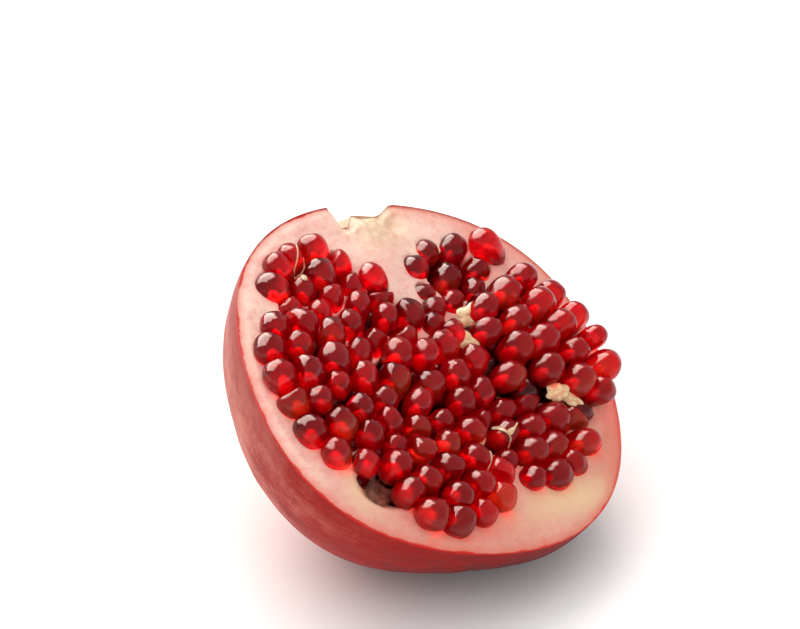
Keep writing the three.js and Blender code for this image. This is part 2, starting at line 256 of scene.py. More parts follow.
def dress(
    piece: bpy.types.Object, material: bpy.types.Material, node: str | None = None
) -> bpy.types.Object:
    """Give a piece its material, hide the imported part of the node that it stands for, if any, and attach it
    to the root.

    Args:
        piece: The piece.
        material: Its finish.
        node: The node that it stands for.

    Returns:
        The piece.
    """
    piece.data.materials.append(material)
    if node:
        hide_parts(node)
    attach(piece, "root")
    return piece


def fused(forms: Sequence[Form]) -> Form:
    """The points and faces of several forms as one.

    Args:
        forms: The points and faces of each form.

    Returns:
        All points, and faces that count on from form to form.
    """
    faces: list[tuple[int, ...]] = []
    count = 0
    for points, skin in forms:
        faces += [tuple(i + count for i in f) for f in skin]
        count += len(points)
    return np.vstack([points for points, _ in forms]), faces


def ring_faces(rings: int, count: int) -> list[tuple[int, ...]]:
    """Four-sided faces between closed rings of count points that follow one another.

    Args:
        rings: How many rings there are.
        count: How many points each ring has.

    Returns:
        The faces, from the first ring to the last.
    """
    faces = []
    for r in range(rings - 1):
        a, b = r * count, (r + 1) * count
        faces += [(a + i, b + i, b + (i + 1) % count, a + (i + 1) % count) for i in range(count)]
    return faces


def cap_faces(centre: int, ring: int, count: int) -> list[tuple[int, ...]]:
    """Three-sided faces from a centre point to a closed ring."""
    return [(centre, ring + i, ring + (i + 1) % count) for i in range(count)]


class Wire:
    """A shader socket that takes part in sums and products."""

    def __init__(self, sheet: "NodeSheet", socket: bpy.types.NodeSocket) -> None:
        """Keep the socket and the sheet that it is on."""
        self.sheet = sheet
        self.socket = socket

    def _join(self, operation: str, first: Any, second: Any, clamp: bool = False) -> "Wire":
        """Add one Math node."""
        settings = {"operation": operation, "use_clamp": clamp}
        return self.sheet.wire("ShaderNodeMath", settings, {0: first, 1: second})

    def __add__(self, other: "Wire | Number") -> "Wire":
        """Sum."""
        return self._join("ADD", self, other)

    def __radd__(self, other: Number) -> "Wire":
        """A number plus this."""
        return self._join("ADD", other, self)

    def __sub__(self, other: "Wire | Number") -> "Wire":
        """Difference."""
        return self._join("SUBTRACT", self, other)

    def __rsub__(self, other: Number) -> "Wire":
        """A number minus this."""
        return self._join("SUBTRACT", other, self)

    def __mul__(self, other: "Wire | Number") -> "Wire":
        """Product."""
        return self._join("MULTIPLY", self, other)

    def __rmul__(self, other: Number) -> "Wire":
        """A number times this."""
        return self._join("MULTIPLY", other, self)

    def __truediv__(self, other: "Wire | Number") -> "Wire":
        """Quotient."""
        return self._join("DIVIDE", self, other)

    def __rtruediv__(self, other: Number) -> "Wire":
        """A number over this."""
        return self._join("DIVIDE", other, self)

    def held(self) -> "Wire":
        """This, held between 0 and 1."""
        return self._join("ADD", self, 0.0, clamp=True)

    def ramp(self, low: float, high: float) -> "Wire":
        """An eased step from 0 at low to 1 at high.

        Args:
            low: Where the step starts.
            high: Where it ends.

        Returns:
            The step's value.
        """
        ranges = {"From Min": low, "From Max": high, "To Min": 0.0, "To Max": 1.0, "Value": self}
        settings = {"interpolation_type": "SMOOTHSTEP", "clamp": True}
        return self.sheet.wire("ShaderNodeMapRange", settings, ranges)


class NodeSheet:
    """A material and the nodes on it."""

    def __init__(self, name: str) -> None:
        """Start an empty material.

        Args:
            name: The material's name.
        """
        self.material = bpy.data.materials.new(name)
        self.material.use_nodes = True
        self.tree = self.material.node_tree
        self.tree.nodes.clear()

    def add(self, kind: str, settings: dict | None = None, inputs: dict | None = None) -> bpy.types.Node:
        """Add a node.

        Args:
            kind: The node's type.
            settings: Its settings, which are set first.
            inputs: Values or wires of its sockets.

        Returns:
            The node.
        """
        node = self.tree.nodes.new(kind)
        for key, value in (settings or {}).items():
            setattr(node, key, value)
        for key, value in (inputs or {}).items():
            if isinstance(value, Wire):
                self.tree.links.new(value.socket, node.inputs[key])
            else:
                node.inputs[key].default_value = value
        return node

    def wire(self, kind: str, settings: dict | None, inputs: dict | None = None, output: Any = 0) -> Wire:
        """Add a node and take one of its outputs."""
        return Wire(self, self.add(kind, settings, inputs).outputs[output])

    def value_of(self, name: str) -> Wire:
        """A number kept on the mesh's points."""
        return self.wire("ShaderNodeAttribute", {"attribute_name": name}, output="Fac")

    def vector_of(self, name: str) -> Wire:
        """A vector kept on the mesh's points."""
        return self.wire("ShaderNodeAttribute", {"attribute_name": name}, output="Vector")

    def grain(self, at: Wire, scale: float, detail: float = 4.0, rough: float = 0.55) -> Wire:
        """Noise from 0 to 1 at a vector."""
        inputs = {"Vector": at, "Scale": scale, "Detail": detail, "Roughness": rough}
        return self.wire("ShaderNodeTexNoise", None, inputs)

    def cells(self, at: Wire, scale: float) -> Wire:
        """Distance to the nearest of scattered points."""
        return self.wire("ShaderNodeTexVoronoi", None, {"Vector": at, "Scale": scale})

    def layered(self, colour: Colour, *layers: tuple[Wire, Colour]) -> Wire:
        """A colour with others laid over it in turn, each by its share.

        Args:
            colour: The lowest colour.
            layers: The share and the colour of each layer, the lowest first.

        Returns:
            The colour on top.
        """
        for share, over in layers:
            colour = self.wire("ShaderNodeMix", {"data_type": "RGBA"}, {0: share, 6: colour, 7: over}, 2)
        return colour

    def stretched(self, at: Wire, by: tuple[float, float, float]) -> Wire:
        """A vector, stretched along its axes."""
        return self.wire("ShaderNodeVectorMath", {"operation": "MULTIPLY"}, {0: at, 1: by})

    def bumps(self, height: Wire, strength: float, distance: float) -> Wire:
        """A normal that is bent by a height."""
        inputs = {"Height": height, "Strength": strength, "Distance": distance}
        return self.wire("ShaderNodeBump", None, inputs)

    def finish(self, inputs: dict[str, Any]) -> bpy.types.Material:
        """Close the material with a surface shader.

        Args:
            inputs: Values or wires of the shader's sockets.

        Returns:
            The material.
        """
        shader = self.add("ShaderNodeBsdfPrincipled", None, inputs)
        output = self.add("ShaderNodeOutputMaterial")
        self.tree.links.new(shader.outputs[0], output.inputs["Surface"])
        return self.material


@dataclass(frozen=True)
class SkinFinish:
    """The leathery outer skin: waxy, streaked from crown to stem, with a painted sheen that makes it muted
    and paler on the side towards the light.
    """

    deep: Colour = paint(84, 2, 0)
    red: Colour = paint(150, 8, 4)
    blush: Colour = paint(166, 36, 27)
    # A pale waxy bloom, which also serves as the painted sheen on the side towards the light.
    bloom_and_sheen: Colour = paint(206, 122, 106)
    straw: Colour = paint(214, 140, 112)
    rim: Colour = paint(216, 34, 26)
    salmon: Colour = paint(224, 120, 100)
    torn: Colour = paint(238, 205, 172)
    scar: Colour = paint(92, 40, 26)
    bands: tuple[tuple[tuple[float, ...], tuple[float, ...]], ...] = (
        ((2.6, 1.0, 1.0), (2.4, 6.0, 0.62)),
        ((9.0, 1.4, 1.0), (3.0, 7.0, 0.68)),
        ((40.0, 7.0, 1.0), (3.0, 6.0, 0.7)),
    )

    def material(self) -> bpy.types.Material:
        """The skin's material.

        Returns:
            The material.
        """
        sheet = NodeSheet("pomegranate_skin")
        lines = sheet.vector_of("meridian")
        place = sheet.vector_of("place")
        latitude = sheet.value_of("latitude")
        patches, streaks, fine = (sheet.grain(sheet.stretched(lines, by), *grain) for by, grain in self.bands)
        blots = sheet.grain(place, 9.0, 8.0, 0.68)
        pores = sheet.cells(place, 42.0)
        freckles = sheet.cells(place, 7.0)
        # Painted sheen: the tone is raised on the side towards the light and lowered opposite it, on top of
        # random patches and streaks.
        painted_sheen = sheet.value_of("painted_sheen")
        tone = (patches * 0.6 + streaks * 0.32 + fine * 0.24 + blots * 0.4 + painted_sheen * 0.28 - 0.38).held()
        colour = sheet.layered(
            self.deep,
            (tone.ramp(0.26, 0.46), self.red),
            (tone.ramp(0.42, 0.6), self.blush),
            (tone.ramp(0.52, 0.78) * 0.9, self.bloom_and_sheen),
            ((1 - pores.ramp(0.04, 0.2)) * fine.ramp(0.4, 0.6) * 0.55, self.straw),
            ((1 - freckles.ramp(0.02, 0.1)) * blots.ramp(0.45, 0.6) * 0.6, self.scar),
            ((1 - latitude.ramp(2.0, 18.0)) * 0.6, self.red),
            (1 - (latitude - streaks * 1.2).ramp(0.2, 1.2), self.rim),
            (sheet.value_of("pale_side") * (1 - latitude.ramp(3.0, 9.0)), self.salmon),
            (sheet.value_of("torn"), self.torn),
        )
        wax = sheet.grain(place, 9.0, 3.0)
        coarse = sheet.grain(place, 46.0, 5.0)
        height = fine * 0.3 + pores.ramp(0.0, 0.3) * 0.35 + coarse * 0.6 + blots * 0.8
        return sheet.finish(
            {
                "Base Color": colour,
                "Roughness": wax * 0.25 + 0.36,
                "Normal": sheet.bumps(height, 0.4, 0.0005),
                "IOR": 1.24,
            }
        )


@dataclass(frozen=True)
class PithFinish:
    """The pale, spongy pith: cream to pink, orange-red where it meets the skin, with painted shade towards
    the bottom and right, stained by juice beside the arils and darkened by painted shade on the walls of the
    hollow.
    """

    cream: Colour = paint(240, 206, 188)
    pale: Colour = paint(236, 188, 176)
    pink: Colour = paint(222, 134, 120)
    # Painted shade, darker towards the bottom and right.
    shade_tan: Colour = paint(196, 104, 80)
    straw: Colour = paint(228, 204, 156)
    edge: Colour = paint(212, 46, 34)
    inner_edge: Colour = paint(226, 116, 98)
    brown: Colour = paint(96, 58, 34)
    # Juice red, used both for juice stains beside the arils and for painted shade in the hollow.
    juice_and_shade: Colour = paint(140, 24, 24)

    def material(self) -> bpy.types.Material:
        """The pith's material.

        Returns:
            The material.
        """
        sheet = NodeSheet("pomegranate_pith")
        place = sheet.vector_of("place")
        pale_side = sheet.value_of("pale_side")
        cloudy = sheet.grain(place, 3.4, 4.0)
        mottled = sheet.grain(place, 19.0, 6.0, 0.7)
        speckled = sheet.grain(place, 60.0, 4.0, 0.6)
        waves = (sheet.grain(place, 8.0, 4.0) - 0.5) * 2.6
        margin = (sheet.value_of("margin") - waves) / (pale_side + 1.0)
        colour = sheet.layered(
            self.pale,
            (cloudy.ramp(0.36, 0.64), self.cream),
            (mottled.ramp(0.44, 0.7) * 0.5, self.pink),
            (speckled.ramp(0.46, 0.74) * 0.24, self.pink),
            # Painted shade: tan towards the bottom and right.
            (sheet.value_of("painted_shade") * (cloudy * 0.8 + 0.3).held(), self.shade_tan),
            (sheet.value_of("straw") * (mottled * 0.8 + 0.5).held(), self.straw),
            ((1 - margin.ramp(0.3, 3.0)) * 0.55, self.inner_edge),
            ((1 - margin.ramp(0.1, 0.7)) * (1 - pale_side * 0.8), self.edge),
            # Juice stain beside the arils, and painted shade on the walls of the hollow.
            (sheet.value_of("stain_and_shade") * (mottled * 0.5 + 0.6), self.juice_and_shade),
            (sheet.value_of("pocket") * (mottled * 1.1 + 0.35).held(), self.brown),
        )
        height = mottled * 0.8 + speckled * 0.5
        return sheet.finish(
            {
                "Base Color": colour,
                "Roughness": mottled * 0.2 + 0.5,
                "Normal": sheet.bumps(height, 0.45, 0.0005),
                "IOR": 1.4,
                "Subsurface Weight": 0.35,
                "Subsurface Radius": (0.0032, 0.0014, 0.0009),
                "Subsurface Scale": 1.0,
            }
        )


@dataclass(frozen=True)
class ArilFinish:
    """Juicy red flesh, with painted shade on its far side and at its root, and a painted glow on one side
    where light through the flesh would light the seed.
    """

    ruby: Colour = paint(238, 6, 26)
    bright: Colour = paint(255, 22, 34)
    dark: Colour = paint(70, 0, 8)
    # Painted glow, where light through the flesh would light the seed.
    painted_glow: Colour = paint(255, 84, 44)

    def material(self) -> bpy.types.Material:
        """The arils' material.

        Returns:
            The material.
        """
        sheet = NodeSheet("pomegranate_aril")
        place = sheet.vector_of("place")
        tone = sheet.value_of("tone")
        cloud = sheet.grain(place, 14.0, 3.0)
        colour = sheet.layered(
            self.ruby,
            ((tone * 0.7 + cloud * 0.5).ramp(0.35, 0.95), self.bright),
            # Painted shade.
            (sheet.value_of("shade"), self.dark),
            # Painted glow.
            (sheet.value_of("painted_glow"), self.painted_glow),
        )
        height = sheet.grain(place, 26.0, 3.0)
        return sheet.finish(
            {
                "Base Color": colour,
                "Roughness": cloud * 0.05 + 0.02,
                "Normal": sheet.bumps(height, 0.05, 0.0005),
                "IOR": 1.38,
                "Transmission Weight": 0.75,
                "Subsurface Weight": 1.0,
                "Subsurface Radius": (0.0032, 0.0007, 0.0006),
                "Subsurface Scale": 1.0,
            }
        )


@dataclass(frozen=True)
class SeedFinish:
    """The pale, hard seed inside an aril."""

    ivory: Colour = paint(244, 214, 170)
    pink: Colour = paint(226, 130, 110)

    def material(self) -> bpy.types.Material:
        """The seeds' material.

        Returns:
            The material.
        """
        sheet = NodeSheet("pomegranate_seed")
        cloud = sheet.grain(sheet.vector_of("place"), 20.0, 3.0)
        colour = sheet.layered(self.ivory, (cloud.ramp(0.3, 0.7), self.pink))
        return sheet.finish({"Base Color": colour, "Roughness": cloud * 0.2 + 0.4})


@dataclass(frozen=True)
class MembraneFinish:
    """The papery skins between the chambers."""

    straw: Colour = paint(226, 206, 160)
    wet: Colour = paint(206, 142, 104)

    def material(self) -> bpy.types.Material:
        """The papery skins' material.

        Returns:
            The material.
        """
        sheet = NodeSheet("pomegranate_membrane")
        cloud = sheet.grain(sheet.vector_of("place"), 8.0, 4.0)
        colour = sheet.layered(self.straw, (cloud.ramp(0.34, 0.66) * 0.9, self.wet))
        return sheet.finish(
            {
                "Base Color": colour,
                "Roughness": cloud * 0.2 + 0.3,
                "Normal": sheet.bumps(cloud, 0.3, 0.0004),
                "Subsurface Weight": 0.4,
                "Subsurface Radius": (0.003, 0.0015, 0.001),
                "Subsurface Scale": 1.0,
            }
        )


@dataclass(frozen=True)
class Stray:
    """One aril by itself, on the pith or set in it: its chamber, place, height, lean, size and painted shade.
    """

    chamber: int
    x: float
    y: float
    tip: float
    lean: tuple[float, float]
    size: float
    shade: float

    def lies(self) -> bool:
        """Whether it lies on its side on the pith."""
        return math.hypot(*self.lean) > LYING_LEAN


@dataclass(frozen=True)
class Clearing:
    """A place where arils stand apart: its place and how far their sides keep off it."""

    x: float
    y: float
    room: float


@dataclass
class ArilField:
    """Where the arils stand: rows in each chamber, nudged by seeded draws and eased apart."""

    pitch: float = 7.7
    row_share: float = 0.866
    jitter: float = 0.26
    wobble: float = 0.26
    tip_spread: float = 1.6
    border_inset: float = 3.0
    rounds: int = 24
    push_share: float = 0.25
    fan_depth: float = 66.0
    half_length: float = 6.0
    half_width: float = 3.8
    spread: float = 0.19
    under_drop: float = 4.2
    under_room: float = 1.6
    under_shifts: tuple[tuple[float, float], ...] = ((0.5, 0.29), (-0.5, -0.29))
    clearings: tuple[Clearing, ...] = (
        Clearing(16.8, 12.0, 0.2),
        Clearing(11.8, 5.0, 0.0),
        Clearing(28.2, -14.6, 1.4),
        Clearing(-28.0, -23.5, 1.4),
    )
    strays: tuple[Stray, ...] = (
        Stray(2, -3.5, 28.9, 4.2, (-0.9, 0.5), 0.86, 0.2),
        Stray(6, 29.1, 29.9, 4.8, (-1.6, 0.7), 1.0, 0.1),
        Stray(7, 11.4, 17.2, 3.0, (0, 0.1), 0.85, 0.2),
        Stray(3, 8.0, 13.4, 3.4, (0, 0.1), 0.8, 0.35),
    )

    def is_cleared(self, at: np.ndarray) -> bool:
        """Whether a place on the face lies in a clearing."""
        room = self.half_width + self.under_room
        return any(math.hypot(at[0] - c.x, at[1] - c.y) < room + c.room for c in self.clearings)

    def rows(self) -> list[dict[str, float]]:
        """Places of the arils that show.

        Returns:
            One entry for each aril: its chamber's number, seed and place on the face.
        """
        spots: list[dict[str, float]] = []
        for k, chamber in enumerate(CHAMBERS):
            c, s = math.cos(chamber.turn * RAD), math.sin(chamber.turn * RAD)
            rows = math.ceil(chamber.ry / (self.pitch * self.row_share))
            columns = math.ceil(chamber.rx / self.pitch) + 1
            for j in range(-rows, rows + 1):
                for i in range(-columns, columns + 1):
                    seed = 1000 * (k + 1) + 40 * (j + 20) + i + 20
                    shift = 0.5 if j % 2 else 0.0
                    u = (i + shift + self.jitter * (draw(seed) - 0.5)) * self.pitch
                    v = (j * self.row_share + self.jitter * (draw(seed + 0.5) - 0.5)) * self.pitch
                    x, y = chamber.x + u * c - v * s, chamber.y + u * s + v * c
                    number, reach = nearest_chamber(np.array([x]), np.array([y]))
                    if number[0] == k and reach[0] <= 1:
                        spots.append({"chamber": k, "seed": seed, "x": x, "y": y})
        self._ease(spots)
        return spots

    def _ease(self, spots: list[dict[str, float]]) -> None:
        """Push close arils apart and hold them off their chamber's border.

        Args:
            spots: The arils' places, which are changed.
        """
        at = np.array([[s["x"], s["y"]] for s in spots])
        for _ in range(self.rounds):
            for a in range(len(spots)):
                for b in range(a + 1, len(spots)):
                    step = at[b] - at[a]
                    apart = math.hypot(step[0], step[1])
                    if 1e-6 < apart < self.pitch:
                        push = step * (self.push_share * (self.pitch - apart) / apart)
                        at[a] -= push
                        at[b] += push
            for clearing in self.clearings:
                step = at - np.array([clearing.x, clearing.y])
                apart = np.hypot(step[:, 0], step[:, 1])
                short = np.maximum(0, self.half_width + clearing.room - apart)
                at += step * (short / np.maximum(apart, 1e-6))[:, None]
            for n, spot in enumerate(spots):
                chamber = CHAMBERS[int(spot["chamber"])]
                reach = float(chamber.reach(at[n, 0], at[n, 1]))
                limit = 1 - self.border_inset / min(chamber.rx, chamber.ry)
                if reach > limit:
                    middle = np.array([chamber.x, chamber.y])
                    at[n] = middle + (at[n] - middle) * limit / reach
        for n, spot in enumerate(spots):
            spot["x"], spot["y"] = float(at[n, 0]), float(at[n, 1])


@dataclass
class Aril:
    """One aril: its place, axis and size."""

    chamber: int
    seed: float
    foot: np.ndarray
    tip: float
    size: float
    under: bool
    field_: ArilField
    stray: Stray | None = None

    def axis(self) -> np.ndarray:
        """The way from root to tip.

        Returns:
            A way of length 1.
        """
        lean = self.stray.lean if self.stray else CHAMBERS[self.chamber].lean
        outward = self.outward()
        axis = outward + np.array([lean[0], lean[1], 0.0])
        wobble = np.array([draw(self.seed + 0.31) - 0.5, draw(self.seed + 0.37) - 0.5, 0.0])
        axis = axis + wobble * self.field_.wobble
        return axis / np.linalg.norm(axis)

    def outward(self) -> np.ndarray:
        """The way that arils here fan out, one millimetre up for each millimetre of height."""
        depth = self.field_.fan_depth
        return np.array([self.foot[0] / depth, self.foot[1] / depth, 1.0])

    def middle(self) -> np.ndarray:
        """The aril's middle."""
        foot = np.array([self.foot[0], self.foot[1], 0.0])
        return foot + self.outward() * self.tip - self.axis() * self.field_.half_length * self.size

    def basis(self) -> np.ndarray:
        """Across, through and along the aril, one column each.

        Returns:
            A matrix of three columns.
        """
        axis = self.axis()
        turn = draw(self.seed + 0.1) * math.pi
        side = np.cross(axis, [math.sin(turn), math.cos(turn), 0.3])
        side /= np.linalg.norm(side)
        return np.column_stack([side, np.cross(axis, side), axis])


def unit_ball(level: int) -> Form:
    """A ball of even triangles.

    Args:
        level: How often its faces are split, from 1.

    Returns:
        Its points and faces.
    """
    bm = bmesh.new()
    bmesh.ops.create_icosphere(bm, subdivisions=level, radius=1.0)
    points = np.array([v.co[:] for v in bm.verts])
    faces = [tuple(v.index for v in f.verts) for f in bm.faces]
    bm.free()
    return points, faces


@dataclass
class ArilClusters:
    """All the arils, pressed against one another, in one piece for each chamber."""

    field_: ArilField = field(default_factory=ArilField)
    lie: Lie = field(default_factory=Lie)
    taper: float = 0.2
    blunt: float = 2.4
    lump: float = 0.05
    press_blend: float = 0.55
    press_gap: float = 0.06
    # Painted shade: on sunken chambers, on each aril's far side, at its root and on the arils below;
    # ripe_shade darkens arils at random.
    sunk_shade: float = 0.2
    far_shade: float = 0.6
    far_way: tuple[float, float, float] = (-0.3, 0.9, 0.2)
    ripe_shade: float = 0.28
    root_shade: float = 0.85
    under_shade: float = 0.7
    under_shade_tone: float = 0.35
    under_reach: float = 1.1
    seed_size: tuple[float, float, float] = (1.25, 1.05, 2.7)
    seed_drop: float = 0.9
    show_level: int = 4
    under_level: int = 3
    arils: list[Aril] = field(default_factory=list)

    def grow(self) -> list[Aril]:
        """Place every aril, those that show and those in the gaps below them.

        Returns:
            The arils.
        """
        for spot in self.field_.rows():
            k, seed = int(spot["chamber"]), spot["seed"]
            chamber = CHAMBERS[k]
            size = 1 + self.field_.spread * (draw(seed + 0.25) - 0.5) * 2
            reach = float(chamber.reach(spot["x"], spot["y"]))
            tip = float(chamber.tip_height(reach)) + (draw(seed + 0.75) - 0.5) * self.field_.tip_spread
            foot = np.array([spot["x"], spot["y"]])
            self.arils.append(Aril(k, seed, foot, tip, size, False, self.field_))
            for number, shift in enumerate(self.field_.under_shifts):
                low = foot + np.array(shift) * self.field_.pitch
                reach = float(chamber.reach(low[0], low[1]))
                if reach < self.under_reach and not self.field_.is_cleared(low):
                    tip = float(chamber.tip_height(reach)) - self.field_.under_drop
                    self.arils.append(Aril(k, seed + 0.6 + 0.07 * number, low, tip, size, True, self.field_))
        for s in self.field_.strays:
            foot = np.array([s.x, s.y])
            self.arils.append(Aril(s.chamber, 500.0 + s.x, foot, s.tip, s.size, False, self.field_, s))
        return self.arils

    def form(self, aril: Aril, ball: np.ndarray) -> np.ndarray:
        """One aril's points before it is pressed.

        Args:
            aril: The aril.
            ball: Points of a unit ball.

        Returns:
            Points of the face frame.
        """
        f = self.field_
        square = (np.abs(ball) ** self.blunt).sum(axis=1) ** (-1 / self.blunt)
        shape = ball * square[:, None]
        wide = 1 + self.taper * shape[:, 2] - 0.1 * shape[:, 2] ** 2
        lumps = 1 + self.lump * ripple(ball, 0.8, aril.seed * 0.37)
        flat = 0.9 + 0.08 * draw(aril.seed + 0.9)
        local = np.column_stack(
            [
                shape[:, 0] * wide * f.half_width * lumps,
                shape[:, 1] * wide * f.half_width * flat * lumps,
                shape[:, 2] * f.half_length * lumps,
            ]
        )
        return aril.middle() + (local * aril.size) @ aril.basis().T

    def press(self, aril: Aril, points: np.ndarray) -> np.ndarray:
        """Flatten an aril where it meets its neighbours.

        Args:
            aril: The aril.
            points: Its points.

        Returns:
            The pressed points.
        """
        middle = aril.middle()
        pressed = points.copy()
        for other in self.arils:
            if other is aril:
                continue
            step = other.middle() - middle
            apart = np.linalg.norm(step)
            if apart > 4 * self.field_.half_width or apart < 1e-6:
                continue
            way = step / apart
            share = aril.size / (aril.size + other.size)
            wall = apart * share - self.press_gap
            if aril.under != other.under:
                wall = max(wall, self.field_.half_width * 0.8)
            over = (pressed - middle) @ way - wall
            b = self.press_blend
            held = np.where(np.abs(over) < b, (over + b) ** 2 / (4 * b), np.maximum(0, over))
            pressed -= held[:, None] * way
        return pressed

    def looks(self, aril: Aril, points: np.ndarray, rise: np.ndarray) -> dict[str, np.ndarray]:
        """An aril's tone, painted shade and painted glow, on each of its points.

        Args:
            aril: The aril.
            points: Its points.
            rise: How far up the aril each point is, from 0 to 1.

        Returns:
            The numbers under the names that the finish reads.
        """
        offset = (points - aril.middle()) / self.field_.half_width
        # Arils below others take less of the bright red, as painted shade.
        tone = draw(aril.seed + 0.55) * (self.under_shade_tone if aril.under else 1.0)
        ripe = draw(aril.seed + 0.83)
        side = (draw(aril.seed + 0.61) - 0.5) * 1.8
        amount = smooth((draw(aril.seed + 0.66) - 0.45) / 0.35) * (1 - ripe) * (not aril.under)
        # Painted glow on one side of some arils, where light through the flesh would light the seed.
        painted_glow = smooth((offset @ np.array([side, -0.75, 0.25]) - 0.35) / 0.5) * amount
        # Painted shade: at the root, on arils below others, in sunken chambers, on the far side and on lone
        # arils.
        shade = smooth((0.6 - rise) / 0.5) * self.root_shade + (self.under_shade if aril.under else 0.0)
        shade = shade + self.sunk_shade * CHAMBERS[aril.chamber].sunken()
        far = smooth((offset @ np.array(self.far_way) - 0.5) / 0.5)
        shade = shade + far * self.far_shade * draw(aril.seed + 0.71)
        shade = shade + self.ripe_shade * ripe + (aril.stray.shade if aril.stray else 0.0)
        return {"tone": np.full(len(points), tone), "shade": np.clip(shade, 0, 1), "painted_glow": painted_glow}

    def cluster(self, number: int, balls: dict[bool, Form], finish: bpy.types.Material) -> bpy.types.Object:
        """Make the piece of one chamber's arils.

        Args:
            number: The chamber's number.
            balls: The unit balls for arils that show, False, and for those below, True.
            finish: The arils' material.

        Returns:
            The piece.
        """
        forms, looks = [], []
        for aril in (a for a in self.arils if a.chamber == number):
            ball, skin = balls[aril.under]
            points = self.press(aril, self.form(aril, ball))
            forms.append((points, skin))
            looks.append(self.looks(aril, points, (ball[:, 2] + 1) / 2))
        points, faces = fused(forms)
        values = {key: np.concatenate([look[key] for look in looks]) for key in looks[0]}
        values["place"] = points / NEAR_SCALE
        name = CHAMBERS[number].name
        piece = make_piece(f"kernels_{name}", self.lie.place(points), faces, values)
        return dress(piece, finish, f"arils_{name}")

    def build(self) -> list[bpy.types.Object]:
        """Make each chamber's piece.

        Returns:
            The pieces.
        """
        balls = {False: unit_ball(self.show_level), True: unit_ball(self.under_level)}
        finish = ArilFinish().material()
        return [self.cluster(number, balls, finish) for number in range(len(CHAMBERS))]

    def build_seeds(self) -> bpy.types.Object:
        """Make the seeds inside the arils that show.

        Returns:
            The piece.
        """
        ball, skin = unit_ball(2)
        forms = []
        for aril in (a for a in self.arils if not a.under):
            local = ball * np.array(self.seed_size) * aril.size
            forms.append((aril.middle() - aril.axis() * self.seed_drop + local @ aril.basis().T, skin))
        points, faces = fused(forms)
        piece = make_piece("seeds", self.lie.place(points), faces, {"place": points / NEAR_SCALE})
        return dress(piece, SeedFinish().material())


